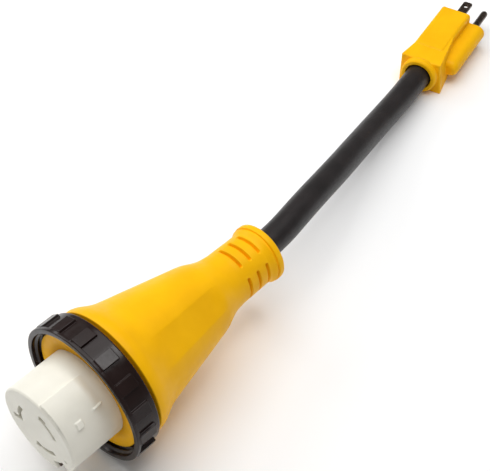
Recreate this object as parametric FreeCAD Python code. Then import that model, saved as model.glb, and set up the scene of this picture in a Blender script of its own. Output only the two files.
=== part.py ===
import FreeCAD, Part
import math
import os
from FreeCAD import Vector

# Dogbone adapter: a 15 A straight-blade plug, a short heavy cable and a 50 A locking outlet.
# Millimetres. The centre of the outlet's face is the origin, +X runs back along the
# outlet's axis towards the cable, +Z is up. Angles about that axis are in degrees from
# straight up, growing towards -Y.

# --- outlet insert and its contacts ---
BARREL_RADIUS = 25.4
BARREL_EDGE = 0.8
KEY_PAD_RADIUS = 26.8
KEY_PAD_ANGLES = (11.5, 48.0)
LOW_PAD_RADIUS = 25.8
LOW_PAD_ANGLES = (48.0, 92.0)
PADS_END = 25.0
BOSS_RADIUS = 27.0
BOSS_ANGLES = (48.8, 61.0)
BOSS_X = (8.4, 12.4)
INSERT_END = 44.0
REAR_BLOCK_END = 66.0
SHOULDER_RADIUS = 28.0
SHOULDER_X = (48.0, 52.0)
SLOT_RADIUS = 14.0
SLOT_WIDTH = 2.6
SLOT_HALF_ANGLE = 28.0
FACE_HOLE_PLACE = (112.0, 20.3)
FACE_HOLE_RADIUS = 0.9
FACE_HOLE_DEPTH = 3.0
KEYWAY_DEPTH = 12.0
HOT_X_ANGLE = 42.0
NEUTRAL_ANGLE = 162.0
HOT_Y_ANGLE = 281.0
GROUND_ANGLE = 142.0
GROUND_NOTCH = (128.0, 156.0)
GROUND_NOTCH_RADIUS = 19.6
GROUND_NOTCH_LENGTH = 20.0
LEAF = 0.5
TAIL_THICKNESS = 1.0
TAIL_HALF_ANGLE = 8.0
TAIL_END = 76.0
GROUND_BARREL_OFFSET = 7.5
LINK_X = 70.0
LINK_WIDTH = 5.0
LINK_THICKNESS = 1.2
RIVET_SHANK_RADIUS = 1.0
RIVET_HEAD_RADIUS = 1.9

# --- crimp barrels and wires ---
CRIMP_RADIUS = 2.7
CRIMP_BORE = 1.5
CRIMP_LENGTH = 10.0
STRAND_RADIUS = 1.4
BARE_LENGTH = 2.0
WIRE_LEAD = 6.0
WIRE_RADIUS = 2.2
WIRE_CIRCLE = 3.0
LINE_LAY = 330.0
NEUTRAL_LAY = 210.0
GROUND_LAY = 90.0
FILLER_RADIUS = 1.3
FILLER_CIRCLE = 4.2

# --- locking ring ---
RING_FRONT = 28.0
RING_LENGTH = 16.0
RING_RADIUS = 39.5
RING_RIM_RADIUS = 40.7
RING_RIM_WIDTH = 2.2
GRIP_RADIUS = 41.0
GRIP_COUNT = 16
GRIP_WIDTH = 7.2
GRIP_X = (30.0, 40.75)
THREAD_ROOT = 37.4
THREAD_CREST = 36.2
THREAD_PITCH = 3.1
THREAD_TURNS = 3
LIP_RADIUS = 33.1
LIP_FRONT = 41.03
WASHER_X = (40.08, 40.95)
WASHER_RADII = (33.0, 36.3)

# --- moulded outlet body ---
DISC_FRONT = 32.0
DISC_REAR = 40.0
DISC_RADIUS = 35.0
GROOVE_RADIUS = 32.6
RIM_FRONT = 46.5
RIM_RADIUS = 37.7
CONE_START = (63.5, 32.1)
CONE_END = (110.0, 22.0)
NECK_START = (131.0, 16.1)
NECK_END = (149.0, 15.8)
END_FLANGE_RADIUS = 17.7
END_GROOVE_RADIUS = 16.5
BODY_END = 160.0
FLARE = [(49.5, RIM_RADIUS), (52.5, 36.8), (56.0, 35.0), (60.0, 33.2), CONE_START]
SHOULDER_CURVE = [CONE_END, (113.7, 21.0), (117.0, 19.6), (120.0, 18.4), (124.0, 17.1), NECK_START]
FLANGE_CURVE = [NECK_END, (151.5, 16.0), (153.2, 16.6), (154.7, 17.3)]
FLANGE_SLOPE = 0.45
HOLLOW_FRONT = (67.5, 26.5)
HOLLOW_REAR = (112.0, 17.0)
CABLE_BORE_X = (119.0, 146.0)
FACET_ANGLES = (47.0, 227.0)
FACET_DEPTH = 1.46
FACET_LENGTH = 49.0
NECK_SLOT_ROWS = (135.3, 142.4, 149.5)
NECK_SLOT_WIDTH = 2.0
NECK_SLOT_HALF_ANGLE = 32.0
NECK_SLOT_FLOOR = 13.0
WALL_GAP = 0.1

# --- cable ---
JACKET_RADIUS = 8.4
JACKET_BORE = 6.6
CABLE_BORE = 8.5
MOUTH_RADIUS = 9.3
CABLE_ROUTE = [
    Vector(129.0, 0.0, 0.0),
    Vector(168.0, 0.0, 0.0),
    Vector(207.0, 8.2, -3.0),
    Vector(244.0, 16.4, -9.4),
    Vector(280.5, 26.6, -18.0),
    Vector(314.0, 35.2, -24.8),
    Vector(347.95, 42.3, -28.4),
]

# --- plug, in its own frame: X from the cable end to the blades, origin on the cable's line ---
PLUG_PLACE = Vector(366.3, 46.4, -28.4)
PLUG_TURN = 12.6
PLUG_BOTTOM = -12.6
CABLE_IN_PLUG = 15.5
COLLAR_RADIUS = 12.6
COLLAR_LENGTH = 6.0
NOSE_X = (20.5, 67.0)
NOSE_Y = (-8.6, 13.0)
NOSE_TOP = 11.2
NOSE_ROUNDING = 2.4
FACE_ROUNDING = 0.9
HEEL_TOP = 10.6
HEEL_ROUNDING = 1.0
HEEL_DRAFT = 2.4
HEEL_OUTLINE = [(5.0, 15.4), (5.0, -15.6), (36.0, -11.2), (39.5, -8.0), (39.5, 6.0), (20.5, 12.8)]
RIB_X = (17.5, 66.5)
RIB_Y = (-15.0, -5.0)
RIB_CENTRE_Z = -0.8
RIB_RADIUS = 5.8
RIB_FRONT_ROUNDING = 1.2
RIB_REAR_ROUNDING = 4.0
CAVITY_X = (15.6, 61.6)
CORE_START = 17.0
CAVITY_Y = (-6.0, 6.0)
CAVITY_Z = (-9.4, 9.4)
ARM_X = (19.6, 61.6)
ARM_Y = (-15.0, -5.0)
ARM_Z = (-3.2, 3.2)
BRIDGE_LENGTH = 7.5
BLADE_WIDTH = 6.35
BLADE_THICKNESS = 1.52
BLADE_OFFSET = 6.35
BLADE_ROOT = 48.0
BLADE_TIP = 84.5
BLADE_CHAMFER = 1.0
BLADE_HOLE_RADIUS = 1.7
BLADE_HOLE_SETBACK = 5.0
PIN_RADIUS = 2.38
PIN_ROOT_RADIUS = 2.0
PIN_OFFSET = 11.9
PIN_TIP = 88.6
CLEARANCE = 0.05

AXIS = Vector(1, 0, 0)
ORIGIN = Vector(0, 0, 0)
POWER_ANGLES = (HOT_X_ANGLE, NEUTRAL_ANGLE, HOT_Y_ANGLE)
KEYWAYS = [
    (HOT_X_ANGLE - 30, HOT_X_ANGLE - 13, 17.2),
    (NEUTRAL_ANGLE + 24, NEUTRAL_ANGLE + 34, 16.9),
    (HOT_Y_ANGLE - 28, HOT_Y_ANGLE - 19, 19.8),
]
SLOT_INNER = SLOT_RADIUS - SLOT_WIDTH / 2
SLOT_OUTER = SLOT_RADIUS + SLOT_WIDTH / 2
LINK_INNER = SLOT_RADIUS + TAIL_THICKNESS / 2 + CLEARANCE
LINK_OUTER = LINK_INNER + LINK_THICKNESS
CRIMP_START = TAIL_END - 2.0
PLUG_CRIMP_END = BLADE_ROOT - CRIMP_LENGTH
GROUND_CRIMP_START = REAR_BLOCK_END + 1.0


def radial(angle, radius, x=0.0):
    """Point at an angle and radius about the outlet's axis."""
    turn = math.radians(angle)
    return Vector(x, -radius * math.sin(turn), radius * math.cos(turn))


def rod(start, end, radius):
    """Straight round rod between two points."""
    along = end - start
    return Part.makeCylinder(radius, along.Length, start, along)


def sleeve(x0, x1, inner, outer):
    """Plain ring about the outlet's axis."""
    solid = rod(Vector(x0, 0, 0), Vector(x1, 0, 0), outer)
    return solid.cut(rod(Vector(x0 - 1, 0, 0), Vector(x1 + 1, 0, 0), inner))


def line_edges(corners):
    """Straight edges through (x, r) corners, in the plane that is turned about the axis."""
    points = [Vector(x, 0, r) for x, r in corners]
    return [Part.LineSegment(a, b).toShape() for a, b in zip(points, points[1:])]


def curve_edge(corners, start_slope, end_slope):
    """One smooth edge through (x, r) points, with the slopes that its neighbours have."""
    curve = Part.BSplineCurve()
    curve.interpolate(
        Points=[Vector(x, 0, r) for x, r in corners],
        InitialTangent=Vector(1, 0, start_slope),
        FinalTangent=Vector(1, 0, end_slope),
    )
    return curve.toShape()


def turned(edges):
    """Solid of revolution about the outlet's axis."""
    face = Part.Face(Part.Wire(edges))
    return face.revolve(ORIGIN, AXIS, 360)


def turned_polygon(corners):
    """Solid of revolution with straight sides."""
    return turned(line_edges(list(corners) + [corners[0]]))


def arc_block(x0, x1, inner, outer, start, end):
    """Block with curved sides, between two radii and two angles."""
    middle = (start + end) / 2
    inside = Part.Arc(radial(start, inner, x0), radial(middle, inner, x0), radial(end, inner, x0))
    outside = Part.Arc(radial(end, outer, x0), radial(middle, outer, x0), radial(start, outer, x0))
    far_side = Part.LineSegment(radial(end, inner, x0), radial(end, outer, x0))
    near_side = Part.LineSegment(radial(start, outer, x0), radial(start, inner, x0))
    edges = [side.toShape() for side in (inside, far_side, outside, near_side)]
    return Part.Face(Part.Wire(edges)).extrude(Vector(x1 - x0, 0, 0))


def box(x_span, y_span, z_span):
    """Box from its three spans, each given in either order."""
    low = Vector(min(x_span), min(y_span), min(z_span))
    high = Vector(max(x_span), max(y_span), max(z_span))
    size = high - low
    return Part.makeBox(size.x, size.y, size.z, low)


def joined(shapes):
    """One solid from overlapping shapes, without the seams between them."""
    whole = shapes[0].fuse(shapes[1:])
    return whole.removeSplitter()


def carved(shape, cutters):
    """A shape with each cutter taken out of it."""
    return shape.cut(cutters).removeSplitter()


def rounded(shape, radius, wanted):
    """A shape with the edges that a test picks rounded off."""
    edges = [edge for edge in shape.Edges if wanted(edge)]
    return shape.makeFillet(radius, edges)


def runs_along_x(edge):
    """Whether a straight edge is parallel to X."""
    along = edge.lastVertex().Point - edge.firstVertex().Point
    return abs(along.x) > 0.99 * along.Length and along.Length > 1


def route_arcs(points):
    """Path of straight runs joined by tangent arcs, with the radius of each arc."""
    edges = []
    radii = []
    last = points[0]
    for before, corner, after in zip(points, points[1:], points[2:]):
        back = (before - corner)
        ahead = (after - corner)
        reach = 0.45 * min(back.Length, ahead.Length)
        half_turn = (math.pi - back.getAngle(ahead)) / 2
        radii.append(reach / math.tan(half_turn))
        back.normalize()
        ahead.normalize()
        enter = corner + back * reach
        leave = corner + ahead * reach
        inward = back + ahead
        inward.normalize()
        centre_distance = reach / math.sin(half_turn)
        middle = corner + inward * (centre_distance - radii[-1])
        edges.append(Part.LineSegment(last, enter).toShape())
        edges.append(Part.Arc(enter, middle, leave).toShape())
        last = leave
    edges.append(Part.LineSegment(last, points[-1]).toShape())
    return Part.Wire(edges), radii


def round_sweep(points, radius):
    """Round bar along a route."""
    path, radii = route_arcs(points)
    ring = Part.Wire(Part.makeCircle(radius, points[0], points[1] - points[0]))
    return path.makePipeShell([ring], True, True), path.Length, radii


def in_plug(shape):
    """Puts a shape made in the plug's frame where the plug lies."""
    placed = shape.copy()
    placed.rotate(ORIGIN, Vector(0, 0, 1), PLUG_TURN)
    placed.translate(PLUG_PLACE)
    return placed


def plug_point(x, y, z):
    """A point given in the plug's frame, in the frame of the whole adapter."""
    turn = FreeCAD.Rotation(Vector(0, 0, 1), PLUG_TURN)
    return turn.multVec(Vector(x, y, z)) + PLUG_PLACE


def full_route():
    """The cable's route, from inside the outlet body to inside the plug."""
    return CABLE_ROUTE + [plug_point(CABLE_IN_PLUG, 0, 0)]


# --- outlet ---

def tail_passage(x0, x1, angle):
    """Opening for one contact's tail."""
    spread = TAIL_HALF_ANGLE + 0.5
    half = TAIL_THICKNESS / 2 + CLEARANCE
    return arc_block(x0, x1, SLOT_RADIUS - half, SLOT_RADIUS + half, angle - spread, angle + spread)


def ground_passage(x0, x1):
    """Opening for the ground contact's tail."""
    inner = GROUND_NOTCH_RADIUS
    outer = inner + TAIL_THICKNESS + 0.2
    return arc_block(x0, x1, inner, outer, GROUND_ANGLE - 8, GROUND_ANGLE + 8)


def keyways():
    """The wider entry at one end of each curved slot, each of its own shape."""
    blocks = []
    for start, end, outer in KEYWAYS:
        blocks.append(arc_block(-1, KEYWAY_DEPTH, SLOT_INNER, outer, start, end))
    return blocks


def female_insert():
    """White barrel outside the curved slots, with its key pads, boss and ground notch."""
    barrel = turned_polygon([
        (0, SLOT_OUTER), (0, BARREL_RADIUS - BARREL_EDGE), (BARREL_EDGE, BARREL_RADIUS),
        (INSERT_END, BARREL_RADIUS), (INSERT_END, SLOT_OUTER),
    ])
    under_surface = BARREL_RADIUS - 1
    raised = [
        arc_block(BARREL_EDGE, PADS_END, under_surface, KEY_PAD_RADIUS, *KEY_PAD_ANGLES),
        arc_block(BARREL_EDGE, PADS_END, under_surface, LOW_PAD_RADIUS, *LOW_PAD_ANGLES),
        arc_block(*BOSS_X, under_surface, BOSS_RADIUS, *BOSS_ANGLES),
    ]
    cutters = keyways()
    cutters.append(arc_block(-1, GROUND_NOTCH_LENGTH, GROUND_NOTCH_RADIUS, SHOULDER_RADIUS, *GROUND_NOTCH))
    cutters.append(ground_passage(GROUND_NOTCH_LENGTH - 1, INSERT_END + 1))
    hole_start = radial(*FACE_HOLE_PLACE, -1)
    cutters.append(rod(hole_start, hole_start + AXIS * (FACE_HOLE_DEPTH + 1), FACE_HOLE_RADIUS))
    return carved(joined([barrel] + raised), cutters)


def insert_hub():
    """White centre of the insert, inside the curved slots, with the webs between the slots."""
    outer = SLOT_OUTER - CLEARANCE
    pieces = [rod(ORIGIN, Vector(INSERT_END, 0, 0), SLOT_INNER)]
    following = POWER_ANGLES[1:] + (POWER_ANGLES[0] + 360,)
    for angle, next_angle in zip(POWER_ANGLES, following):
        start = angle + SLOT_HALF_ANGLE
        end = next_angle - SLOT_HALF_ANGLE
        pieces.append(arc_block(0, INSERT_END, SLOT_INNER - 1, outer, start, end))
    return carved(joined(pieces), keyways())


def insert_rear_block():
    """Block behind the insert that closes its slots, holds the tails and locks in the body."""
    start = INSERT_END + CLEARANCE
    shoulder_front, shoulder_rear = SHOULDER_X
    block = turned_polygon([
        (start, 0), (start, BARREL_RADIUS), (shoulder_front, BARREL_RADIUS),
        (shoulder_front, SHOULDER_RADIUS), (shoulder_rear, SHOULDER_RADIUS),
        (shoulder_rear, BARREL_RADIUS), (REAR_BLOCK_END, BARREL_RADIUS), (REAR_BLOCK_END, 0),
    ])
    passages = [tail_passage(start - 1, REAR_BLOCK_END + 1, angle) for angle in POWER_ANGLES]
    passages.append(ground_passage(start - 1, REAR_BLOCK_END + 1))
    return carved(block, passages)


def crimp_barrel(start, end):
    """Metal tube that a bare wire end is squeezed in."""
    return rod(start, end, CRIMP_RADIUS)


def crimp_bore(start, end):
    """The hole of a crimp barrel, open at its end."""
    along = (end - start).normalize()
    return rod(start + along * 2, end + along, CRIMP_BORE)


def power_contact(angle, with_barrel):
    """Doubled spring leaf behind one curved slot, with its tail."""
    start = angle - SLOT_HALF_ANGLE + 1
    end = angle + SLOT_HALF_ANGLE - 1
    inner = SLOT_INNER + CLEARANCE
    outer = SLOT_OUTER - CLEARANCE
    half = TAIL_THICKNESS / 2
    tail_span = (angle - TAIL_HALF_ANGLE, angle + TAIL_HALF_ANGLE)
    pieces = [
        arc_block(KEYWAY_DEPTH + 1, INSERT_END - CLEARANCE, inner, inner + LEAF, start, end),
        arc_block(KEYWAY_DEPTH + 1, INSERT_END - CLEARANCE, outer - LEAF, outer, start, end),
        arc_block(INSERT_END - 2, INSERT_END - CLEARANCE, inner, outer, start, end),
        arc_block(INSERT_END - 1, TAIL_END, SLOT_RADIUS - half, SLOT_RADIUS + half, *tail_span),
    ]
    if not with_barrel:
        return joined(pieces)
    barrel_start = radial(angle, SLOT_RADIUS, CRIMP_START)
    barrel_end = radial(angle, SLOT_RADIUS, CRIMP_START + CRIMP_LENGTH)
    pieces.append(crimp_barrel(barrel_start, barrel_end))
    return carved(joined(pieces), [crimp_bore(barrel_start, barrel_end)])


def ground_contact():
    """Strip in the barrel's notch that meets the inlet's metal shell, with its tail."""
    inner = GROUND_NOTCH_RADIUS + CLEARANCE
    outer = inner + TAIL_THICKNESS
    notch_end = GROUND_NOTCH[1] - 1
    web_x = GROUND_CRIMP_START
    barrel_start = radial(GROUND_ANGLE, GROUND_BARREL_OFFSET, web_x)
    barrel_end = radial(GROUND_ANGLE, GROUND_BARREL_OFFSET, web_x + CRIMP_LENGTH)
    pieces = [
        arc_block(1.5, GROUND_NOTCH_LENGTH - 1, inner, outer, GROUND_ANGLE - 7, notch_end),
        arc_block(1.5, GROUND_NOTCH_LENGTH - 1, inner, 24.2, notch_end - 3, notch_end),
        arc_block(10, web_x + 1, inner, outer, GROUND_ANGLE - 7, GROUND_ANGLE + 7),
        arc_block(web_x, web_x + 1, 5.2, outer, GROUND_ANGLE - 7, GROUND_ANGLE + 7),
        crimp_barrel(barrel_start, barrel_end),
    ]
    return carved(joined(pieces), [crimp_bore(barrel_start, barrel_end)])


def link_places():
    """Where the link bar is riveted to the two hot contacts' tails."""
    return (HOT_Y_ANGLE - 360, HOT_X_ANGLE)


def rivet_shank(angle, start, end):
    """Radial pin through a tail and the link bar."""
    return rod(radial(angle, start, LINK_X), radial(angle, end, LINK_X), RIVET_SHANK_RADIUS)


def hot_link_bar():
    """Curved bar that joins both hot contacts, because the plug feeds one line only."""
    start, end = link_places()
    half = LINK_WIDTH / 2
    bar = arc_block(LINK_X - half, LINK_X + half, LINK_INNER, LINK_OUTER, start - 8, end + 8)
    holes = [rivet_shank(angle, LINK_INNER - 1, LINK_OUTER + 1) for angle in link_places()]
    return carved(bar, holes)


def link_rivets():
    """Two rivet heads with their shanks, outside each tail."""
    rivets = []
    for angle in link_places():
        head_start = radial(angle, LINK_OUTER, LINK_X)
        head = rod(head_start, radial(angle, LINK_OUTER + 1, LINK_X), RIVET_HEAD_RADIUS)
        rivets.append(joined([rivet_shank(angle, LINK_INNER, LINK_OUTER + 0.5), head]))
    return Part.makeCompound(rivets)


# --- locking ring ---

def thread_outline():
    """Rounded ridges on the ring's bore, from its front to its back."""
    corners = []
    for turn in range(THREAD_TURNS):
        start = RING_FRONT + 1.8 + THREAD_PITCH * turn
        corners += [(start, THREAD_ROOT), (start + 0.9, THREAD_CREST)]
        corners += [(start + 1.5, THREAD_CREST), (start + 2.4, THREAD_ROOT)]
    return corners


def ring_grip(angle):
    """Flat-topped finger grip on the outside of the ring."""
    half = GRIP_WIDTH / 2
    grip = box(GRIP_X, (-half, half), (RING_RADIUS - 0.6, GRIP_RADIUS))
    grip.rotate(ORIGIN, AXIS, angle)
    return grip


def locking_ring():
    """Threaded ring with finger grips, which draws the outlet onto its inlet."""
    rear = RING_FRONT + RING_LENGTH
    rim_rear = RING_FRONT + RING_RIM_WIDTH
    bore = [(RING_FRONT, THREAD_ROOT + 0.4)] + thread_outline()
    bore += [(LIP_FRONT, THREAD_ROOT), (LIP_FRONT, LIP_RADIUS)]
    outside = [
        (rear, LIP_RADIUS), (rear, RING_RADIUS - 0.8), (rear - 0.8, RING_RADIUS),
        (rim_rear, RING_RADIUS), (rim_rear, RING_RIM_RADIUS),
        (RING_FRONT + 0.6, RING_RIM_RADIUS), (RING_FRONT, RING_RIM_RADIUS - 0.6),
    ]
    grips = [ring_grip(360 / GRIP_COUNT * number) for number in range(GRIP_COUNT)]
    return joined([turned_polygon(bore + outside)] + grips)


def slip_washer():
    """Thin washer that the ring's lip turns against."""
    return sleeve(*WASHER_X, *WASHER_RADII)


# --- outlet body ---

def body_blank():
    """The moulded body before its grip flats and neck slots: disc, rim, cone, neck and end flange."""
    slope = (CONE_END[1] - CONE_START[1]) / (CONE_END[0] - CONE_START[0])
    disc = [(DISC_FRONT, BARREL_RADIUS + WALL_GAP), (DISC_FRONT, DISC_RADIUS - 0.5)]
    disc += [(DISC_FRONT + 0.5, DISC_RADIUS), (DISC_REAR, DISC_RADIUS), (DISC_REAR, GROOVE_RADIUS)]
    rim = [(RIM_FRONT, GROOVE_RADIUS), (RIM_FRONT, RIM_RADIUS - 0.4), (RIM_FRONT + 0.4, RIM_RADIUS)]
    shoulder_front, shoulder_rear = SHOULDER_X
    bore = [
        FLANGE_CURVE[-1], (155.1, END_GROOVE_RADIUS), (155.9, END_GROOVE_RADIUS),
        (156.3, END_FLANGE_RADIUS), (158.8, END_FLANGE_RADIUS), (BODY_END, END_FLANGE_RADIUS - 1.2),
        (BODY_END, MOUTH_RADIUS), (CABLE_BORE_X[1], CABLE_BORE), (CABLE_BORE_X[0], CABLE_BORE),
        HOLLOW_REAR, HOLLOW_FRONT, (HOLLOW_FRONT[0], BARREL_RADIUS + WALL_GAP),
        (shoulder_rear + WALL_GAP, BARREL_RADIUS + WALL_GAP),
        (shoulder_rear + WALL_GAP, SHOULDER_RADIUS + WALL_GAP),
        (shoulder_front - WALL_GAP, SHOULDER_RADIUS + WALL_GAP),
        (shoulder_front - WALL_GAP, BARREL_RADIUS + WALL_GAP),
        (DISC_FRONT, BARREL_RADIUS + WALL_GAP),
    ]
    edges = line_edges(disc + rim + [FLARE[0]])
    edges.append(curve_edge(FLARE, 0.0, slope))
    edges += line_edges([CONE_START, CONE_END])
    edges.append(curve_edge(SHOULDER_CURVE, slope, 0.0))
    edges += line_edges([NECK_START, NECK_END])
    edges.append(curve_edge(FLANGE_CURVE, 0.0, FLANGE_SLOPE))
    edges += line_edges(bore)
    return turned(edges)


def grip_flat(angle):
    """Cutter for one flat on the cone, parallel to the cone's side."""
    rise = CONE_END[1] - CONE_START[1]
    run = CONE_END[0] - CONE_START[0]
    tilt = math.degrees(math.atan2(-rise, run))
    cutter = box((-1, FACET_LENGTH), (-20, 20), (-FACET_DEPTH, 12))
    cutter.rotate(ORIGIN, Vector(0, 1, 0), tilt)
    cutter.translate(Vector(CONE_START[0], 0, CONE_START[1]))
    cutter.rotate(ORIGIN, AXIS, angle)
    return cutter


def neck_slots():
    """Cutters for the rows of slots that let the neck bend."""
    slots = []
    for x in NECK_SLOT_ROWS:
        for quarter in range(4):
            start = 90 * quarter - NECK_SLOT_HALF_ANGLE
            end = 90 * quarter + NECK_SLOT_HALF_ANGLE
            half = NECK_SLOT_WIDTH / 2
            slots.append(arc_block(x - half, x + half, NECK_SLOT_FLOOR, 19, start, end))
    return slots


def connector_body():
    """Moulded body round the insert, its wires and the end of the cable."""
    flats = [grip_flat(angle) for angle in FACET_ANGLES]
    return body_blank().cut(flats + neck_slots())


# --- cable ---

def cable_jacket():
    """Outer sheath of the cable."""
    route = full_route()
    outside, length, radii = round_sweep(route, JACKET_RADIUS)
    inside, _, _ = round_sweep(route, JACKET_BORE)
    jacket = outside.cut(inside)
    expected = math.pi * (JACKET_RADIUS ** 2 - JACKET_BORE ** 2) * length
    print("cable length %.1f, arc radii %s" % (length, ["%.0f" % r for r in radii]))
    print("jacket volume %.0f, section times length %.0f" % (jacket.Volume, expected))
    return jacket


def cable_fillers():
    """Three filler cords between the wires."""
    fillers = []
    for lay in (LINE_LAY, NEUTRAL_LAY, GROUND_LAY):
        shift = radial(lay + 60, FILLER_CIRCLE)
        fillers.append(round_sweep([point + shift for point in full_route()], FILLER_RADIUS)[0])
    return Part.makeCompound(fillers)


def insulated_wire(outlet_points, lay, plug_points, radius):
    """One insulated wire from its outlet contact, through the jacket, to its blade."""
    shift = radial(lay, WIRE_CIRCLE)
    inner_route = [point + shift for point in full_route()]
    inner_route[0] = inner_route[0] - AXIS * WIRE_LEAD
    inner_route[-1] = inner_route[-1] + (plug_point(WIRE_LEAD, 0, 0) - PLUG_PLACE)
    return round_sweep(outlet_points + inner_route + plug_points, radius)[0]


def power_wire(angle, lay, z, radius):
    """Wire between one curved contact and one blade."""
    start = CRIMP_START + CRIMP_LENGTH + BARE_LENGTH
    toward = lay + 8 * math.copysign(1, z)
    outlet = [radial(angle, SLOT_RADIUS, start), radial(angle, SLOT_RADIUS, start + 8)]
    outlet.append(radial(toward, 5.0, start + 25))
    plug_end = PLUG_CRIMP_END - BARE_LENGTH
    inlet = [plug_point(x, 0, z) for x in (plug_end - 5, plug_end)]
    return insulated_wire(outlet, lay, inlet, radius)


def line_wire(radius=WIRE_RADIUS):
    """Wire from the line blade to the first hot contact."""
    return power_wire(HOT_X_ANGLE, LINE_LAY, BLADE_OFFSET, radius)


def neutral_wire(radius=WIRE_RADIUS):
    """Wire from the neutral blade to the neutral contact."""
    return power_wire(NEUTRAL_ANGLE, NEUTRAL_LAY, -BLADE_OFFSET, radius)


def ground_wire(radius=WIRE_RADIUS):
    """Wire from the ground pin to the ground contact."""
    start = GROUND_CRIMP_START + CRIMP_LENGTH + BARE_LENGTH
    outlet = [radial(GROUND_ANGLE, GROUND_BARREL_OFFSET, x) for x in (start, start + 9)]
    outlet.append(radial(GROUND_LAY + 12, 3.6, start + 28))
    plug_end = PLUG_CRIMP_END - BARE_LENGTH
    inlet = [plug_point(x, -PIN_OFFSET, 0) for x in (plug_end - 5, plug_end)]
    return insulated_wire(outlet, GROUND_LAY, inlet, radius)


def socket_wire_ends():
    """Bare copper between each outlet crimp and its wire."""
    places = [(HOT_X_ANGLE, SLOT_RADIUS, CRIMP_START), (NEUTRAL_ANGLE, SLOT_RADIUS, CRIMP_START)]
    places.append((GROUND_ANGLE, GROUND_BARREL_OFFSET, GROUND_CRIMP_START))
    ends = []
    for angle, radius, crimp_start in places:
        end = crimp_start + CRIMP_LENGTH + BARE_LENGTH
        ends.append(rod(radial(angle, radius, crimp_start + 3), radial(angle, radius, end), STRAND_RADIUS))
    return Part.makeCompound(ends)


# --- plug ---

def blade_centres():
    """Where the two blades and the ground pin stand, as (y, z)."""
    return [(0.0, BLADE_OFFSET), (0.0, -BLADE_OFFSET), (-PIN_OFFSET, 0.0)]


def blade_blank(z, gap=0.0):
    """One flat blade in the plug's frame, or the slightly larger slot for it."""
    half_width = BLADE_WIDTH / 2 + gap
    half_thickness = BLADE_THICKNESS / 2 + gap
    y_span = (-half_width, half_width)
    return box((BLADE_ROOT - gap, BLADE_TIP), y_span, (z - half_thickness, z + half_thickness))


def blade(z):
    """Flat blade with chamfered tip corners and the usual round hole."""
    blank = blade_blank(z)
    at_tip = [edge for edge in blank.Edges if abs(edge.BoundBox.XMin - BLADE_TIP) < 0.01]
    corners = [edge for edge in at_tip if edge.BoundBox.ZLength > 1]
    shaped = blank.makeChamfer(BLADE_CHAMFER, corners)
    hole_x = BLADE_TIP - BLADE_HOLE_SETBACK
    hole = rod(Vector(hole_x, 0, z - 2), Vector(hole_x, 0, z + 2), BLADE_HOLE_RADIUS)
    return in_plug(shaped.cut(hole))


def pin_blank(gap=0.0):
    """The ground pin in the plug's frame, or the slightly larger hole for it."""
    root = Vector(BLADE_ROOT - gap, -PIN_OFFSET, 0)
    face = Vector(RIB_X[1] - gap, -PIN_OFFSET, 0)
    end = Vector(PIN_TIP - PIN_RADIUS, -PIN_OFFSET, 0)
    tip = Part.makeSphere(PIN_RADIUS + gap, end)
    return joined([rod(root, end, PIN_ROOT_RADIUS + gap), rod(face, end, PIN_RADIUS + gap), tip])


def blade_bridge():
    """Hard inner block that holds the blades and the pin at their spacing."""
    front = CAVITY_X[1] - CLEARANCE
    span = (front - BRIDGE_LENGTH, front)
    trim = 2 * CLEARANCE
    centre = box(span, (CAVITY_Y[0] + trim, CAVITY_Y[1] - trim), (CAVITY_Z[0] + trim, CAVITY_Z[1] - trim))
    arm = box(span, (ARM_Y[0] + trim, ARM_Y[1]), (ARM_Z[0] + trim, ARM_Z[1] - trim))
    cutters = [blade_blank(z, CLEARANCE) for z in (BLADE_OFFSET, -BLADE_OFFSET)]
    cutters.append(pin_blank(CLEARANCE))
    return in_plug(carved(joined([centre, arm]), cutters))


def plug_core():
    """Inner moulding behind the bridge, cast round the crimps and the wires."""
    trim = 2 * CLEARANCE
    span = (CORE_START, CAVITY_X[1] - BRIDGE_LENGTH - trim)
    centre = box(span, (CAVITY_Y[0] + trim, CAVITY_Y[1] - trim), (CAVITY_Z[0] + trim, CAVITY_Z[1] - trim))
    arm_span = (ARM_X[0] + trim, span[1])
    arm = box(arm_span, (ARM_Y[0] + trim, ARM_Y[1]), (ARM_Z[0] + trim, ARM_Z[1] - trim))
    cutters = []
    for y, z in blade_centres():
        start = Vector(PLUG_CRIMP_END - BARE_LENGTH - 1, y, z)
        cutters.append(in_plug(rod(start, Vector(CAVITY_X[1], y, z), CRIMP_RADIUS + CLEARANCE)))
    cutters += [in_plug(blade_blank(z, CLEARANCE)) for z in (BLADE_OFFSET, -BLADE_OFFSET)]
    cutters.append(in_plug(pin_blank(CLEARANCE)))
    cutters += [wire(WIRE_RADIUS + CLEARANCE) for wire in (line_wire, neutral_wire, ground_wire)]
    return in_plug(joined([centre, arm])).cut(cutters)


def plug_crimps():
    """Three crimp barrels, one behind each blade and the pin."""
    barrels = []
    for y, z in blade_centres():
        start = Vector(BLADE_ROOT - CLEARANCE, y, z)
        end = Vector(PLUG_CRIMP_END, y, z)
        barrels.append(crimp_barrel(start, end).cut(crimp_bore(start, end)))
    return in_plug(Part.makeCompound(barrels))


def plug_wire_ends():
    """Bare copper between each plug crimp and its wire."""
    span = (PLUG_CRIMP_END - BARE_LENGTH, BLADE_ROOT - 3)
    ends = []
    for y, z in blade_centres():
        ends.append(rod(Vector(span[0], y, z), Vector(span[1], y, z), STRAND_RADIUS))
    return in_plug(Part.makeCompound(ends))


def plug_collar():
    """Round collar with a mouth that the cable comes out of."""
    collar = turned_polygon([
        (1.0, 0), (0, 8.0), (0, COLLAR_RADIUS - 1.0), (1.0, COLLAR_RADIUS),
        (3.0, COLLAR_RADIUS), (COLLAR_LENGTH, COLLAR_RADIUS - 1.0), (COLLAR_LENGTH, 0),
    ])
    return collar


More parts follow.
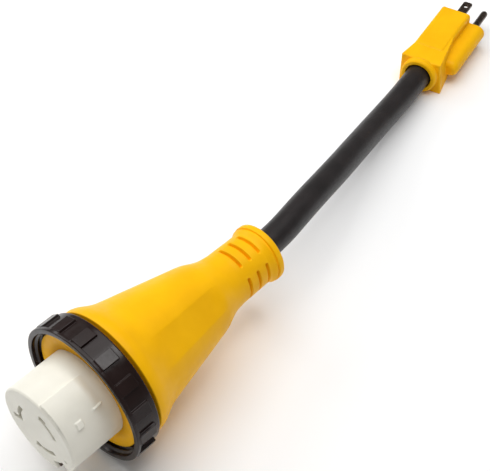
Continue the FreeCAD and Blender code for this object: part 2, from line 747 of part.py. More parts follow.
def is_heel_edge(edge):
    """Whether an edge is at the heel's rear and above its flat base."""
    bounds = edge.BoundBox
    return bounds.XMax < NOSE_X[0] + 0.5 and bounds.ZMax > PLUG_BOTTOM + 0.01 and edge.Length > 5


def heel_outline(z, draft):
    """The heel's outline at one height, with its side by the pin drawn in."""
    corners = []
    for x, y in HEEL_OUTLINE:
        is_pin_side = y < NOSE_Y[0]
        corners.append(Vector(x, y + draft if is_pin_side else y, z))
    return Part.makePolygon(corners + [corners[0]])


def plug_heel():
    """Wide rear block of the plug, which a hand pulls on. Its base is wider than its top."""
    outlines = [heel_outline(PLUG_BOTTOM, 0.0), heel_outline(HEEL_TOP, HEEL_DRAFT)]
    blank = Part.makeLoft(outlines, True, True)
    return rounded(blank, HEEL_ROUNDING, is_heel_edge)


def plug_nose():
    """Front block of the plug, round the two blades."""
    blank = box(NOSE_X, NOSE_Y, (PLUG_BOTTOM, NOSE_TOP))
    long_edges = rounded(blank, NOSE_ROUNDING, runs_along_x)
    return rounded(long_edges, FACE_ROUNDING, lambda edge: edge.BoundBox.XMin > NOSE_X[1] - 0.01)


def is_rib_end(edge, x):
    """Whether an edge bounds the rib's end at x, away from the side that joins the plug."""
    bounds = edge.BoundBox
    return bounds.XLength < 0.01 and abs(bounds.XMin - x) < 0.01 and bounds.YMin < RIB_Y[1] - 0.5


def ground_rib():
    """Rounded rib of the plug, round the ground pin."""
    front, rear = RIB_X[1], RIB_X[0]
    core = box(RIB_X, RIB_Y, (RIB_CENTRE_Z - RIB_RADIUS, RIB_CENTRE_Z + RIB_RADIUS))
    start = Vector(rear, RIB_Y[0], RIB_CENTRE_Z)
    end = Vector(front, RIB_Y[0], RIB_CENTRE_Z)
    outer_side = rod(start, end, RIB_RADIUS)
    rib = joined([core, outer_side])
    rib = rounded(rib, RIB_FRONT_ROUNDING, lambda edge: is_rib_end(edge, front))
    return rounded(rib, RIB_REAR_ROUNDING, lambda edge: is_rib_end(edge, rear))


def plug_body():
    """Moulded plug body, with the space for the blades' inner ends and the wires."""
    outside = joined([plug_heel(), plug_nose(), ground_rib(), plug_collar()])
    bore = rod(Vector(-1, 0, 0), Vector(CAVITY_X[0] + 1, 0, 0), CABLE_BORE)
    mouth = Part.makeCone(MOUTH_RADIUS, CABLE_BORE, 6.0, Vector(-0.01, 0, 0), AXIS)
    cutters = [bore, mouth, box(CAVITY_X, CAVITY_Y, CAVITY_Z), box(ARM_X, ARM_Y, ARM_Z)]
    cutters += [blade_blank(z, CLEARANCE) for z in (BLADE_OFFSET, -BLADE_OFFSET)]
    cutters.append(pin_blank(CLEARANCE))
    return in_plug(outside.cut(cutters))


def all_parts():
    """Every sub-part by its name."""
    return {
        "female_insert": female_insert(),
        "insert_hub": insert_hub(),
        "insert_rear_block": insert_rear_block(),
        "hot_contact_x": power_contact(HOT_X_ANGLE, True),
        "hot_contact_y": power_contact(HOT_Y_ANGLE, False),
        "neutral_contact": power_contact(NEUTRAL_ANGLE, True),
        "ground_contact": ground_contact(),
        "hot_link_bar": hot_link_bar(),
        "link_rivets": link_rivets(),
        "socket_wire_ends": socket_wire_ends(),
        "locking_ring": locking_ring(),
        "slip_washer": slip_washer(),
        "connector_body": connector_body(),
        "cable_jacket": cable_jacket(),
        "cable_fillers": cable_fillers(),
        "line_wire": line_wire(),
        "neutral_wire": neutral_wire(),
        "ground_wire": ground_wire(),
        "plug_body": plug_body(),
        "blade_bridge": blade_bridge(),
        "line_blade": blade(BLADE_OFFSET),
        "neutral_blade": blade(-BLADE_OFFSET),
        "ground_pin": in_plug(pin_blank()),
        "plug_core": plug_core(),
        "plug_crimps": plug_crimps(),
        "plug_wire_ends": plug_wire_ends(),
    }


def main():
    """Writes every sub-part as its own STEP file."""
    os.makedirs("parts", exist_ok=True)
    for name, shape in all_parts().items():
        if not shape.isValid():
            raise ValueError("%s is not a valid solid" % name)
        shape.exportStep("parts/%s.step" % name)
        print("%-18s solids %d volume %.0f" % (name, len(shape.Solids), shape.Volume))


main()
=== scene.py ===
import math

import bmesh
import bpy
import numpy as np
from mathutils import Matrix, Vector


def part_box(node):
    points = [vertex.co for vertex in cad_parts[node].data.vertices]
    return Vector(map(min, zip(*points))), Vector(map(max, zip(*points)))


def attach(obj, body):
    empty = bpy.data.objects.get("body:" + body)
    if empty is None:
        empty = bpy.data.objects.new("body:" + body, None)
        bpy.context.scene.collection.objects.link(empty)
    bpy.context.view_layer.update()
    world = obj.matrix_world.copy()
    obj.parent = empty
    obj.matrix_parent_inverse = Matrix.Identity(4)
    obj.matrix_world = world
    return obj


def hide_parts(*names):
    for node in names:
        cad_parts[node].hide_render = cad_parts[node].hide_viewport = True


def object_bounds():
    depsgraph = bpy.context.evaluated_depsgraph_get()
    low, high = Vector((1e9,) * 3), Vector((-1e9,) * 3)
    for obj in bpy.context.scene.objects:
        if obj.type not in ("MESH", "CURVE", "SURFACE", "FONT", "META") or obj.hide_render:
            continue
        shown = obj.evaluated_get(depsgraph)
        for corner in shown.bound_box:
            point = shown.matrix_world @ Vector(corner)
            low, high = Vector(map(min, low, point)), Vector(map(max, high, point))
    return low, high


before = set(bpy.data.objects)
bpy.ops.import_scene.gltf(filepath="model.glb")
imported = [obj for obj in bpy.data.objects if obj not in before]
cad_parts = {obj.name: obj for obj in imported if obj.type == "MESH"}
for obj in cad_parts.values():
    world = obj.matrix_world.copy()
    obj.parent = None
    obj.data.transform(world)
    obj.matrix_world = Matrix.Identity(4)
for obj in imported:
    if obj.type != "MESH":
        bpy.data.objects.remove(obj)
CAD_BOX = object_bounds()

# Looks of the dogbone adapter, in metres, in the frame of the CAD model: the origin is the
# centre of the outlet's face and +X runs back along the outlet towards the cable. Angles
# about that axis are in degrees from straight up, growing towards -Y.

MM = 0.001

# --- ring ---
GRIP_COUNT = 16
GRIP_HALF_WIDTH = 3.6 * MM
GRIP_FRONT = 1.9 * MM
GRIP_REAR = 12.75 * MM
GRIP_CORNER = 0.5 * MM
GRIP_EDGE = (-0.3 * MM, 0.12 * MM)
GRIP_SIDE_HALF_ANGLE = 0.55
GRIP_SIDE_MARGIN = 0.6
GRIP_SIDE_STEPS = 9
GRIP_TOP_STEPS = 6
GRIP_GAP_STEPS = 8
RING_BASE = 39.5 * MM
RING_RIM = 40.7 * MM
RING_RIM_WIDTH = 2.2 * MM
RING_GRIP = 40.98 * MM
THREAD_ROOT = 37.4 * MM
THREAD_CREST = 36.2 * MM
THREAD_PITCH = 3.1 * MM
THREAD_TURNS = 3
THREAD_START = 1.8 * MM
THREAD_RIB = ((0, THREAD_ROOT), (0.9 * MM, THREAD_CREST), (1.5 * MM, THREAD_CREST), (2.4 * MM, THREAD_ROOT))
THREAD_ROUNDING = 0.25 * MM
RING_MOUTH = THREAD_ROOT + 0.4 * MM
RING_LIP = 33.1 * MM
RING_LIP_FRONT = 13.03 * MM
RING_ROUNDING = 0.2 * MM
RING_BACK_ROUNDING = 0.8 * MM
RING_OUTSIDE_DEPTH = 0.9 * MM
RING_STEP = 0.2 * MM

# --- barrel, measured back from the outlet's face ---
BARREL_RADIUS = 25.4 * MM
BARREL_EDGE = 0.9 * MM
BARREL_OUTSIDE_DEPTH = 0.25 * MM
BARREL_VOXEL = 0.35 * MM
SLOT_MIDDLE = 14.0 * MM
WEB_OVERLAP = 1.025
RELIEF_MIDDLE = 50
RELIEF_HALF_SPAN = 60
PAD_START = 11.5
PAD_BLUR = 0.45
PAD_HEIGHT = 1.35 * MM
PAD_FADE_ANGLES = (30.0, 78.0)
PAD_FADE_X = (20.5 * MM, 26.5 * MM)
RIDGE_X = (19.8 * MM, 25.4 * MM)
RIDGE_ANGLES = (48.8, 51.2)
RIDGE_BLUR_X = 0.5 * MM
RIDGE_BLUR_ANGLE = 0.7
RIDGE_HEIGHT = 0.9 * MM
BOSS_X = (8.4 * MM, 12.4 * MM)
BOSS_ANGLES = (49.0, 58.2)
BOSS_BLUR_X = 0.25 * MM
BOSS_BLUR_ANGLE = 0.5
BOSS_RADIUS = 27.3 * MM

# --- outlet body, measured back from the outlet's face ---
DISC_FRONT = 32.0 * MM
DISC_REAR = 40.0 * MM
DISC_RADIUS = 35.0 * MM
SOCKET_RADIUS = 25.5 * MM
GROOVE_RADIUS = 32.6 * MM
RIM_FRONT = 46.5 * MM
RIM_REAR = RIM_FRONT + 3 * MM
RIM_RADIUS = 37.7 * MM
POCKET_X = (0.0479, 0.0521)  # holds the insert's shoulder
POCKET_RADIUS = 0.0281
FLARE_CURVE = ((0.0525, 0.0368), (0.0560, 0.0350), (0.0600, 0.0332))
CONE_START = (63.5 * MM, 32.1 * MM)
CONE_END = (110.0 * MM, 22.0 * MM)
SHOULDER_CURVE = ((0.1137, 0.0210), (0.1170, 0.0196), (0.1200, 0.0184), (0.1240, 0.0171), (0.1310, 0.0161))
HOLLOW_FRONT = (67.5 * MM, 26.5 * MM)
HOLLOW_REAR = (112.0 * MM, 17.0 * MM)
FLAT_ANGLES = (47.0, 227.0)
FLAT_DEPTH = 1.3 * MM
FLAT_HALF_SPAN = 60
FLAT_SPAN = (57.0 * MM, 73.0 * MM, 106.0 * MM, 117.0 * MM)
NECK_START = (0.1336, 0.0161)
NECK_SLOTS = (135.3 * MM, 142.4 * MM, 149.5 * MM)
NECK_SIDES = 4
NECK_RADIUS = 16.0 * MM
NECK_SLOT_FLOOR = 13.2 * MM
NECK_SLOT_HALF_WIDTH = 0.9 * MM
NECK_SLOT_HALF_ANGLE = 32.0
NECK_SLOT_EDGE = (-0.35 * MM, 0.25 * MM)
FLANGE_CURVE = ((0.1512, 0.0158), (0.1524, 0.0161), (0.1536, 0.0167), (0.1547, 0.0173))
FLANGE_GROOVE_X = (0.1551, 0.1559)
FLANGE_GROOVE_RADIUS = 0.0165
FLANGE_FRONT = 0.1563
FLANGE_RADIUS = 17.7 * MM
BODY_END = 160.0 * MM
CABLE_BORE_X = (0.1190, 0.1460)
CABLE_BORE = 8.5 * MM
CABLE_MOUTH = 9.3 * MM
BODY_ANGLES = 360
CONE_STEP = 1.0 * MM
CURVE_STEP = 0.8 * MM
FLANGE_STEP = 0.3 * MM
NECK_STEP = 0.2 * MM

# --- plug ---
PLUG_VOXEL = 0.28 * MM

# --- cable, the same route as the CAD tube's ---
CABLE_NODES = ("cable_jacket", "cable_fillers", "line_wire", "neutral_wire", "ground_wire")
CABLE_RADIUS = 8.4 * MM
CABLE_BEVEL_STEPS = 12
CABLE_LENGTH_STEPS = 24
CABLE_ROUTE = [
    (0.1290, 0.0000, 0.0000),
    (0.1680, 0.0000, 0.0000),
    (0.2070, 0.0082, -0.0030),
    (0.2440, 0.0164, -0.0094),
    (0.2805, 0.0266, -0.0180),
    (0.3140, 0.0352, -0.0248),
    (0.34795, 0.0423, -0.0284),
    (0.38143, 0.04978, -0.0284),
]

# --- light and camera ---
FLOOR_SIZE = 8
WORLD_LIGHT = 0.28
LIGHTS = (  # name, place, size and power
    ("overhead_key", (0.10, 0.28, 1.30), 1.3, 14),
    ("left_fill", (0.10, 1.20, 0.75), 0.7, 5.5),
    ("right_window", (0.46, -0.27, 1.13), 0.35, 2.6),
)
CAMERA_PLACE = (-0.1618, -0.2928, 0.4858)
CAMERA_YAW = 46.531
CAMERA_PITCH = 47.408
CAMERA_ROLL = -0.502
CAMERA_LENS = 86.8
CAMERA_SENSOR = 36


# --- meshes ---

def link(name, mesh, material):
    """A new object with one material, in the scene."""
    piece = bpy.data.objects.new(name, mesh)
    bpy.context.scene.collection.objects.link(piece)
    piece.data.materials.clear()
    piece.data.materials.append(material)
    return piece


def smooth_step(low, high, value):
    """0 below low, 1 above high, with a smooth rise between."""
    t = np.clip((value - low) / (high - low), 0.0, 1.0)
    return t * t * (3 - 2 * t)


def rounded_outline(corners, steps=6):
    """Points of an outline whose (x, r, radius) corners are rounded off."""
    points = []
    count = len(corners)
    for number in range(count):
        x, r, radius = corners[number]
        corner = np.array([x, r])
        before = np.array(corners[number - 1][:2]) - corner
        after = np.array(corners[(number + 1) % count][:2]) - corner
        if radius == 0:
            points.append(corner)
            continue
        before_unit = before / np.linalg.norm(before)
        after_unit = after / np.linalg.norm(after)
        half = math.acos(np.clip(before_unit @ after_unit, -1, 1)) / 2
        room = 0.49 * min(np.linalg.norm(before), np.linalg.norm(after))
        reach = min(radius / math.tan(half), room)
        start = corner + before_unit * reach
        end = corner + after_unit * reach
        for t in np.linspace(0, 1, steps):
            points.append((1 - t) ** 2 * start + 2 * t * (1 - t) * corner + t * t * end)
    return points


def spaced(start, end, step):
    """Points from start up to but not including end, no further apart than step."""
    start = np.array(start)
    end = np.array(end)
    count = max(1, int(math.ceil(np.linalg.norm(end - start) / step)))
    return [start + (end - start) * i / count for i in range(count)]


def smooth_curve(knots, step):
    """Points along a smooth curve through the knots, up to but not including the last."""
    knots = [np.array(knot) for knot in knots]
    ends = [2 * knots[0] - knots[1]] + knots + [2 * knots[-1] - knots[-2]]
    points = []
    for a, b, c, d in zip(ends, ends[1:], ends[2:], ends[3:]):
        count = max(2, int(np.linalg.norm(c - b) / step))
        for i in range(count):
            t = i / count
            bend = (2 * a - 5 * b + 4 * c - d) * t * t + (3 * b - a - 3 * c + d) * t ** 3
            points.append((2 * b + (c - a) * t + bend) / 2)
    return points


def turned_mesh(name, x, r, angles, material):
    """Closed surface of revolution, whose radius may differ from angle to angle.

    x holds one value for each outline point, and r one for each point and angle.
    """
    turns = np.radians(angles)
    points = np.empty((len(x), len(turns), 3))
    points[:, :, 0] = np.asarray(x)[:, None]
    points[:, :, 1] = -r * np.sin(turns)
    points[:, :, 2] = r * np.cos(turns)
    rows, columns = r.shape
    index = np.arange(rows * columns).reshape(rows, columns)
    right = np.roll(index, -1, axis=1)
    below = np.roll(index, -1, axis=0)
    corner = np.roll(right, -1, axis=0)
    faces = np.stack([index, below, corner, right], axis=-1).reshape(-1, 4)
    mesh = bpy.data.meshes.new(name)
    mesh.from_pydata(points.reshape(-1, 3).tolist(), [], faces.tolist())
    mesh.update()
    mesh.shade_smooth()
    return link(name, mesh, material)


def softened_copy(mesh, name, voxel, passes, ratio, material):
    """Piece with a mesh's shape, its edges softened as a moulding's are."""
    piece = link(name, mesh, material)
    remesh = piece.modifiers.new("remesh", "REMESH")
    remesh.mode = "VOXEL"
    remesh.voxel_size = voxel
    smooth = piece.modifiers.new("smooth", "SMOOTH")
    smooth.factor = 0.5
    smooth.iterations = passes
    thin = piece.modifiers.new("thin", "DECIMATE")
    thin.ratio = ratio
    graph = bpy.context.evaluated_depsgraph_get()
    mesh = bpy.data.meshes.new_from_object(piece.evaluated_get(graph))
    piece.modifiers.clear()
    piece.data = mesh
    piece.data.materials.clear()
    piece.data.materials.append(material)
    mesh.shade_smooth()
    return piece


# --- materials; noise scales are in cells to the metre, depths in metres ---

SHADE_SCALE = 55
SHEEN_SCALE = 240
GRAIN_SCALE = 2600
WAVE_SCALE = 160


class Surface:
    """A node material under construction."""

    def __init__(self, name):
        self.material = bpy.data.materials.new(name)
        self.material.use_nodes = True
        self.tree = self.material.node_tree
        self.shader = self.tree.nodes["Principled BSDF"]
        self.place = self.tree.nodes.new("ShaderNodeTexCoord").outputs["Object"]

    def noise(self, scale, detail=3.0, stretch=(1, 1, 1)):
        """Noise in the piece's own space."""
        mapping = self.tree.nodes.new("ShaderNodeMapping")
        mapping.inputs["Scale"].default_value = stretch
        self.tree.links.new(self.place, mapping.inputs["Vector"])
        node = self.tree.nodes.new("ShaderNodeTexNoise")
        node.inputs["Scale"].default_value = scale
        node.inputs["Detail"].default_value = detail
        self.tree.links.new(mapping.outputs["Vector"], node.inputs["Vector"])
        return node.outputs["Fac"]

    def ramp(self, value, low, high, start=0.35, end=0.65):
        """Colour between low and high as value goes from start to end."""
        node = self.tree.nodes.new("ShaderNodeValToRGB")
        first, last = node.color_ramp.elements
        first.position = start
        last.position = end
        first.color = (*low, 1)
        last.color = (*high, 1)
        self.tree.links.new(value, node.inputs["Fac"])
        return node.outputs["Color"]

    def colour(self, value, low, high):
        """Base colour that drifts between two shades."""
        self.tree.links.new(self.ramp(value, low, high), self.shader.inputs["Base Color"])

    def roughness(self, value, low, high):
        """Roughness that drifts between two values."""
        self.tree.links.new(self.ramp(value, (low,) * 3, (high,) * 3), self.shader.inputs["Roughness"])

    def bump(self, heights):
        """Relief from (value, depth) pairs, one on top of the other."""
        normal = None
        for value, depth in heights:
            node = self.tree.nodes.new("ShaderNodeBump")
            node.inputs["Distance"].default_value = depth
            node.inputs["Strength"].default_value = 1.0
            self.tree.links.new(value, node.inputs["Height"])
            if normal is not None:
                self.tree.links.new(normal, node.inputs["Normal"])
            normal = node.outputs["Normal"]
        self.tree.links.new(normal, self.shader.inputs["Normal"])


def moulded(name, dark, light, rough, grain_depth, specular, coat=0.0):
    """Moulded plastic: slight drift in shade, fine grain and faint handling marks."""
    surface = Surface(name)
    surface.colour(surface.noise(SHADE_SCALE), dark, light)
    surface.roughness(surface.noise(SHEEN_SCALE, detail=5.0), rough - 0.05, rough + 0.07)
    grain = surface.noise(GRAIN_SCALE, detail=2.0)
    waves = surface.noise(WAVE_SCALE)
    surface.bump([(grain, grain_depth), (waves, grain_depth * 2)])
    surface.shader.inputs["Specular IOR Level"].default_value = specular
    surface.shader.inputs["Coat Weight"].default_value = coat
    surface.shader.inputs["Coat Roughness"].default_value = 0.15
    return surface.material


def jacket_rubber():
    """Cable sheath: dull black with fine lengthwise drawing marks."""
    surface = Surface("jacket_rubber")
    surface.colour(surface.noise(90), (0.009, 0.0065, 0.0065), (0.016, 0.012, 0.012))
    surface.shader.inputs["Specular IOR Level"].default_value = 0.4
    marks = surface.noise(1500, detail=4.0, stretch=(0.05, 1, 1))
    grain = surface.noise(3800, detail=2.0)
    surface.roughness(marks, 0.34, 0.48)
    surface.bump([(marks, 0.00006), (grain, 0.00002)])
    return surface.material


def metal(name, dark, light, rough):
    """Metal with a blotchy tarnish and fine drawing lines along it."""
    surface = Surface(name)
    surface.colour(surface.noise(420, detail=6.0), dark, light)
    lines = surface.noise(2400, stretch=(0.06, 1, 1))
    surface.roughness(lines, rough - 0.08, rough + 0.12)
    surface.bump([(lines, 0.00001)])
    surface.shader.inputs["Metallic"].default_value = 1.0
    return surface.material


YELLOW = moulded("yellow_moulding", (0.90, 0.455, 0.001), (0.96, 0.50, 0.002),
                 rough=0.42, grain_depth=0.000010, specular=0.12)
RING_BLACK = moulded("ring_black", (0.010, 0.004, 0.003), (0.017, 0.008, 0.007),
                     rough=0.20, grain_depth=0.000005, specular=0.18, coat=0.10)
IVORY = moulded("barrel_ivory", (0.80, 0.775, 0.68), (0.86, 0.835, 0.74),
                rough=0.38, grain_depth=0.000008, specular=0.25)
WASHER = moulded("washer_nylon", (0.60, 0.58, 0.50), (0.70, 0.68, 0.60),
                 rough=0.55, grain_depth=0.000010, specular=0.3)
BRIDGE_GREY = moulded("bridge_grey", (0.16, 0.16, 0.17), (0.22, 0.22, 0.23),
                      rough=0.55, grain_depth=0.000015, specular=0.3)
RUBBER = jacket_rubber()
BLADE_METAL = metal("blade_metal", (0.055, 0.040, 0.032), (0.14, 0.105, 0.085), rough=0.34)
BRASS = metal("contact_brass", (0.46, 0.31, 0.10), (0.62, 0.45, 0.17), rough=0.32)
COPPER = metal("copper_strand", (0.58, 0.24, 0.11), (0.74, 0.36, 0.19), rough=0.34)
TIN = metal("crimp_tin", (0.48, 0.48, 0.48), (0.62, 0.62, 0.61), rough=0.35)

NODE_MATERIALS = {
    "insert_rear_block": IVORY,
    "hot_contact_x": BRASS,
    "hot_contact_y": BRASS,
    "neutral_contact": BRASS,
    "ground_contact": BLADE_METAL,
    "hot_link_bar": BRASS,
    "link_rivets": BRASS,
    "socket_wire_ends": COPPER,
    "plug_wire_ends": COPPER,
    "slip_washer": WASHER,
    "blade_bridge": BRIDGE_GREY,
    "plug_core": BRIDGE_GREY,
    "line_blade": BLADE_METAL,
    "neutral_blade": BLADE_METAL,
    "ground_pin": BLADE_METAL,
    "plug_crimps": TIN,
}


def dress_cad_parts():
    """Better materials for the CAD parts that stay in the picture."""
    for node, material in NODE_MATERIALS.items():
        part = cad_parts[node]
        part.data.materials.clear()
        part.data.materials.append(material)
        for polygon in part.data.polygons:
            polygon.material_index = 0


# --- locking ring ---

def ring_angles():
    """Angles round the ring, closer together where the grips' sides are."""
    pitch = 360 / GRIP_COUNT
    edge = math.degrees(GRIP_HALF_WIDTH / RING_GRIP)
    inner = edge - GRIP_SIDE_MARGIN
    outer = edge + GRIP_SIDE_MARGIN
    side = np.linspace(-GRIP_SIDE_HALF_ANGLE, GRIP_SIDE_HALF_ANGLE, GRIP_SIDE_STEPS)
    top = np.linspace(-inner, inner, GRIP_TOP_STEPS)
    gap = np.linspace(outer, pitch - outer, GRIP_GAP_STEPS)
    one = np.concatenate([side - edge, top, side + edge, gap])
    one = np.unique(np.round(one, 4))
    return np.concatenate([pitch * number + one for number in range(GRIP_COUNT)])


def ring_inside(front, rear):
    """Corners of the ring's thread, lip and back."""
    corners = [(front, RING_MOUTH, 0.3 * MM)]
    for turn in range(THREAD_TURNS):
        start = front + THREAD_START + THREAD_PITCH * turn
        corners += [(start + reach, radius, THREAD_ROUNDING) for reach, radius in THREAD_RIB]
    corners.append((front + RING_LIP_FRONT, THREAD_ROOT, RING_ROUNDING))
    corners.append((front + RING_LIP_FRONT, RING_LIP, RING_ROUNDING))
    corners.append((rear, RING_LIP, RING_ROUNDING))
    corners.append((rear, RING_BASE, RING_BACK_ROUNDING))
    return corners


def ring_outline():
    """Closed outline of the ring without its grips: thread, lip, back, outside and rim."""
    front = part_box("locking_ring")[0].x
    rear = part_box("locking_ring")[1].x
    rim_rear = front + RING_RIM_WIDTH
    corners = ring_inside(front, rear) + [(rim_rear, RING_BASE, 0), (front, RING_RIM, 0)]
    inside = rounded_outline(corners)[:-2]
    outside = spaced(inside[-1], (rim_rear, RING_BASE), RING_STEP)[1:]
    rim = rounded_outline([
        (rim_rear, RING_BASE, RING_ROUNDING),
        (rim_rear, RING_RIM, 0.3 * MM),
        (front, RING_RIM, 0.6 * MM),
        (front, RING_MOUTH, 0),
    ])
    return inside + outside + rim[:-1]


def locking_ring():
    """Threaded ring with raised finger grips."""
    angles = ring_angles()
    outline = np.array(ring_outline())
    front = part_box("locking_ring")[0].x
    x = outline[:, 0]
    base = outline[:, 1]
    centre = front + (GRIP_FRONT + GRIP_REAR) / 2
    half_length = (GRIP_REAR - GRIP_FRONT) / 2
    pitch = 360 / GRIP_COUNT
    offset = np.radians((angles + pitch / 2) % pitch - pitch / 2)
    across = np.abs(offset) * RING_GRIP - GRIP_HALF_WIDTH + GRIP_CORNER
    along = np.abs(x - centre) - half_length + GRIP_CORNER
    beyond = np.hypot(np.maximum(across[None, :], 0), np.maximum(along[:, None], 0)) - GRIP_CORNER
    raised = 1 - smooth_step(*GRIP_EDGE, beyond)
    on_outside = (base > RING_BASE - RING_OUTSIDE_DEPTH)[:, None]
    flat_top = RING_GRIP / np.cos(offset)
    rise = np.maximum(flat_top[None, :] - base[:, None], 0)
    r = base[:, None] + np.where(on_outside, rise * raised, 0)
    ring = turned_mesh("locking_ring_moulding", x, r, angles, RING_BLACK)
    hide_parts("locking_ring")
    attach(ring, "locking_ring")


# --- outlet body ---

def body_front():
    """Outline of the disc, groove and rim."""
    return rounded_outline([
        (DISC_FRONT, SOCKET_RADIUS, 0),
        (DISC_FRONT, DISC_RADIUS, 0.5 * MM),
        (DISC_REAR, DISC_RADIUS, 0.3 * MM),
        (DISC_REAR, GROOVE_RADIUS, 0.3 * MM),
        (RIM_FRONT, GROOVE_RADIUS, 0.3 * MM),
        (RIM_FRONT, RIM_RADIUS, 0.7 * MM),
        (RIM_REAR, RIM_RADIUS, 0),
        (RIM_REAR, SOCKET_RADIUS, 0),
    ])[:-2]


def body_side():
    """Outline of the flare, cone, shoulder and neck, up to the end flange."""
    points = smooth_curve([(RIM_REAR, RIM_RADIUS), *FLARE_CURVE, CONE_START], CURVE_STEP)
    points += spaced(CONE_START, CONE_END, CONE_STEP)
    points += smooth_curve([CONE_END, *SHOULDER_CURVE], CURVE_STEP)
    points += spaced(SHOULDER_CURVE[-1], NECK_START, CURVE_STEP)
    points += spaced(NECK_START, FLANGE_CURVE[0], NECK_STEP)
    points += smooth_curve(FLANGE_CURVE, FLANGE_STEP)
    return points


def body_back():
    """Outline of the end flange, cable bore, inner space and socket."""
    return rounded_outline([
        (*FLANGE_CURVE[-1], 0),
        (FLANGE_GROOVE_X[0], FLANGE_GROOVE_RADIUS, 0.15 * MM),
        (FLANGE_GROOVE_X[1], FLANGE_GROOVE_RADIUS, 0.15 * MM),
        (FLANGE_FRONT, FLANGE_RADIUS, 0.5 * MM),
        (BODY_END, FLANGE_RADIUS, 1.4 * MM),
        (BODY_END, CABLE_MOUTH, 0.5 * MM),
        (CABLE_BORE_X[1], CABLE_BORE, 0),
        (CABLE_BORE_X[0], CABLE_BORE, 0),
        (*HOLLOW_REAR, 0),
        (*HOLLOW_FRONT, 0),
        (HOLLOW_FRONT[0], SOCKET_RADIUS, 0),
        (POCKET_X[1], SOCKET_RADIUS, 0),
        (POCKET_X[1], POCKET_RADIUS, 0),
        (POCKET_X[0], POCKET_RADIUS, 0),
        (POCKET_X[0], SOCKET_RADIUS, 0),
    ])


def flatten_grips(x, r, angles):
    """Cuts the two flats into the cone, easing in and out at their ends."""
    start, full, fade, end = FLAT_SPAN
    slope = (CONE_END[1] - CONE_START[1]) / (CONE_END[0] - CONE_START[0])
    cone = CONE_START[1] + slope * (x - CONE_START[0])
    present = smooth_step(start, full, x) * (1 - smooth_step(fade, end, x))
    for centre in FLAT_ANGLES:
        off = (angles - centre + 180) % 360 - 180
        facing = np.cos(np.radians(np.clip(off, -FLAT_HALF_SPAN, FLAT_HALF_SPAN)))
        flat = (cone - FLAT_DEPTH)[:, None] / facing[None, :]
        drop = np.clip(r - flat, 0, FLAT_DEPTH) * present[:, None]
        r = r - drop
    return r


def cut_neck_slots(x, r, angles):
    """Presses the rows of round-ended slots into the neck."""
    for row in NECK_SLOTS:
        for side in range(NECK_SIDES):
            off = (angles - 360 / NECK_SIDES * side + 180) % 360 - 180
            along = np.abs(np.radians(off)) * NECK_RADIUS
            straight = math.radians(NECK_SLOT_HALF_ANGLE) * NECK_RADIUS - NECK_SLOT_HALF_WIDTH
            beyond = np.maximum(along - straight, 0)
            distance = np.hypot(beyond[None, :], (x - row)[:, None]) - NECK_SLOT_HALF_WIDTH
            pressed = 1 - smooth_step(*NECK_SLOT_EDGE, distance)
            r = r - np.maximum(r - NECK_SLOT_FLOOR, 0) * pressed
    return r


def outlet_body():
    """Yellow moulding round the barrel and the end of the cable."""
    angles = np.arange(BODY_ANGLES) * 360 / BODY_ANGLES
    outline = np.array(body_front() + body_side() + body_back())
    x = outline[:, 0]
    r = np.repeat(outline[:, 1][:, None], BODY_ANGLES, axis=1)
    before_end = np.arange(len(x)) < np.argmax(x)
    on_side = (x > RIM_REAR) & (outline[:, 1] > CABLE_MOUTH + MM) & before_end
    shaped = cut_neck_slots(x, flatten_grips(x, r, angles), angles)
    r = np.where(on_side[:, None], shaped, r)
    body = turned_mesh("outlet_body_moulding", x, r, angles, YELLOW)
    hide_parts("connector_body")
    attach(body, "adapter")


# --- barrel and plug ---

def mesh_points(mesh):
    """Places of a mesh's vertices, one row each."""
    points = np.empty(len(mesh.vertices) * 3)
    mesh.vertices.foreach_get("co", points)
    return points.reshape(-1, 3)


def scale_radii(mesh, factors):
    """Moves each vertex out from or in to the outlet's axis by its own factor."""
    points = mesh_points(mesh)
    points[:, 1:] *= factors[:, None]
    mesh.vertices.foreach_set("co", points.ravel())
    mesh.update()


def insert_mesh():
    """Both white CAD pieces as one mesh: webs pushed a little into the barrel, raised pads flattened."""
    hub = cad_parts["insert_hub"].data.copy()
    points = mesh_points(hub)
    is_web = np.hypot(points[:, 1], points[:, 2]) > SLOT_MIDDLE
    scale_radii(hub, np.where(is_web, WEB_OVERLAP, 1.0))
    both = bmesh.new()
    both.from_mesh(hub)
    both.from_mesh(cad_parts["female_insert"].data)
    mesh = bpy.data.meshes.new("outlet_barrel")
    both.to_mesh(mesh)
    both.free()
    points = mesh_points(mesh)
    radius = np.hypot(points[:, 1], points[:, 2])
    scale_radii(mesh, np.minimum(1.0, BARREL_RADIUS / np.maximum(radius, MM)))
    return mesh


def within(value, low, high, blur):
    """1 between low and high, 0 outside, with a soft edge."""
    return smooth_step(low - blur, low + blur, value) * (1 - smooth_step(high - blur, high + blur, value))


def barrel_radius(x, angle):
    """Radius of the barrel's outside: a pad with one sharp side, a short ridge and a square boss."""
    pad = smooth_step(PAD_START - PAD_BLUR, PAD_START + PAD_BLUR, angle)
    pad *= 1 - smooth_step(*PAD_FADE_ANGLES, angle)
    pad *= 1 - smooth_step(*PAD_FADE_X, x)
    ridge = within(x, *RIDGE_X, RIDGE_BLUR_X) * within(angle, *RIDGE_ANGLES, RIDGE_BLUR_ANGLE)
    boss = within(x, *BOSS_X, BOSS_BLUR_X) * within(angle, *BOSS_ANGLES, BOSS_BLUR_ANGLE)
    padded = BARREL_RADIUS + PAD_HEIGHT * pad + RIDGE_HEIGHT * ridge
    return np.maximum(padded, BARREL_RADIUS + (BOSS_RADIUS - BARREL_RADIUS) * boss)


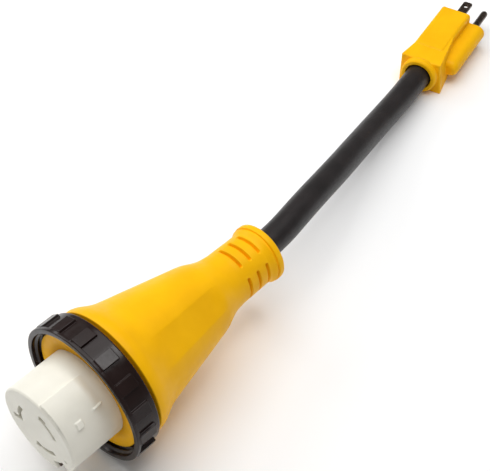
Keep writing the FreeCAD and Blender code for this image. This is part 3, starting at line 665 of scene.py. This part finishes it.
def shape_barrel(mesh):
    """Gives the outside of the barrel its soft relief, clear of the notch and the front edge."""
    points = mesh_points(mesh)
    x = points[:, 0]
    radius = np.hypot(points[:, 1], points[:, 2])
    angle = np.degrees(np.arctan2(-points[:, 1], points[:, 2]))
    near_relief = np.abs(angle - RELIEF_MIDDLE) < RELIEF_HALF_SPAN
    is_outside = (radius > BARREL_RADIUS - BARREL_OUTSIDE_DEPTH) & (x > BARREL_EDGE) & near_relief
    wanted = barrel_radius(x, angle)
    scale_radii(mesh, np.where(is_outside, wanted / np.maximum(radius, MM), 1.0))


def barrel():
    """White barrel with its slots, its edges softened."""
    piece = softened_copy(insert_mesh(), "outlet_barrel", BARREL_VOXEL, passes=3, ratio=1.0, material=IVORY)
    shape_barrel(piece.data)
    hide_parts("female_insert", "insert_hub")
    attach(piece, "adapter")


def plug():
    """Yellow plug moulding, its edges softened."""
    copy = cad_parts["plug_body"].data.copy()
    piece = softened_copy(copy, "plug_moulding", PLUG_VOXEL, passes=4, ratio=0.5, material=YELLOW)
    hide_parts("plug_body")
    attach(piece, "adapter")
    return piece


# --- cable ---

def cable():
    """Round cable along its route, from inside the outlet body to inside the plug."""
    data = bpy.data.curves.new("cable", "CURVE")
    data.dimensions = "3D"
    data.bevel_depth = CABLE_RADIUS
    data.bevel_resolution = CABLE_BEVEL_STEPS
    data.resolution_u = CABLE_LENGTH_STEPS
    data.use_fill_caps = True
    spline = data.splines.new("NURBS")
    spline.points.add(len(CABLE_ROUTE) - 1)
    for point, place in zip(spline.points, CABLE_ROUTE):
        point.co = (*place, 1)
    spline.order_u = 3
    spline.use_endpoint_u = True
    data.materials.append(RUBBER)
    piece = bpy.data.objects.new("cable", data)
    bpy.context.scene.collection.objects.link(piece)
    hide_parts(*CABLE_NODES)
    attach(piece, "adapter")


# --- stage ---

def floor():
    """Plain pale floor under the adapter."""
    surface = Surface("floor_white")
    surface.colour(surface.noise(3), (0.96, 0.96, 0.96), (0.98, 0.98, 0.98))
    surface.shader.inputs["Roughness"].default_value = 0.9
    bpy.ops.mesh.primitive_plane_add(size=FLOOR_SIZE, location=(0, 0, CAD_BOX[0].z))
    plane = bpy.context.object
    plane.name = "floor"
    plane.data.materials.append(surface.material)


def soft_light(name, place, size, power):
    """Square light of the studio, aimed at the adapter's middle."""
    data = bpy.data.lights.new(name, "AREA")
    data.size = size
    data.energy = power
    light = bpy.data.objects.new(name, data)
    light.location = place
    aim = (CAD_BOX[0] + CAD_BOX[1]) / 2 - Vector(place)
    light.rotation_euler = aim.to_track_quat("-Z", "Y").to_euler()
    bpy.context.scene.collection.objects.link(light)


def studio():
    """Even pale surroundings and the lights."""
    scene = bpy.context.scene
    scene.view_settings.view_transform = "Standard"
    world = bpy.data.worlds.new("studio")
    world.use_nodes = True
    world.node_tree.nodes["Background"].inputs["Color"].default_value = (1, 1, 1, 1)
    world.node_tree.nodes["Background"].inputs["Strength"].default_value = WORLD_LIGHT
    scene.world = world
    for light in LIGHTS:
        soft_light(*light)


def camera():
    """Camera above and in front of the outlet, with the plug at the far end of its view."""
    yaw = math.radians(CAMERA_YAW)
    pitch = math.radians(CAMERA_PITCH)
    forward = Vector((math.sin(yaw) * math.cos(pitch), math.cos(yaw) * math.cos(pitch), -math.sin(pitch)))
    right = Vector((math.cos(yaw), -math.sin(yaw), 0))
    up = right.cross(forward)
    turn = Matrix.Rotation(-math.radians(CAMERA_ROLL), 3, forward)
    axes = Matrix((turn @ right, turn @ up, -forward)).transposed()
    data = bpy.data.cameras.new("camera")
    data.lens = CAMERA_LENS
    data.sensor_width = CAMERA_SENSOR
    view = bpy.data.objects.new("camera", data)
    view.matrix_world = Matrix.Translation(CAMERA_PLACE) @ axes.to_4x4()
    bpy.context.scene.collection.objects.link(view)
    bpy.context.scene.camera = view


def main():
    """Every piece, the stage and the camera."""
    dress_cad_parts()
    locking_ring()
    outlet_body()
    barrel()
    plug_piece = plug()
    cable()
    floor()
    studio()
    camera()


main()
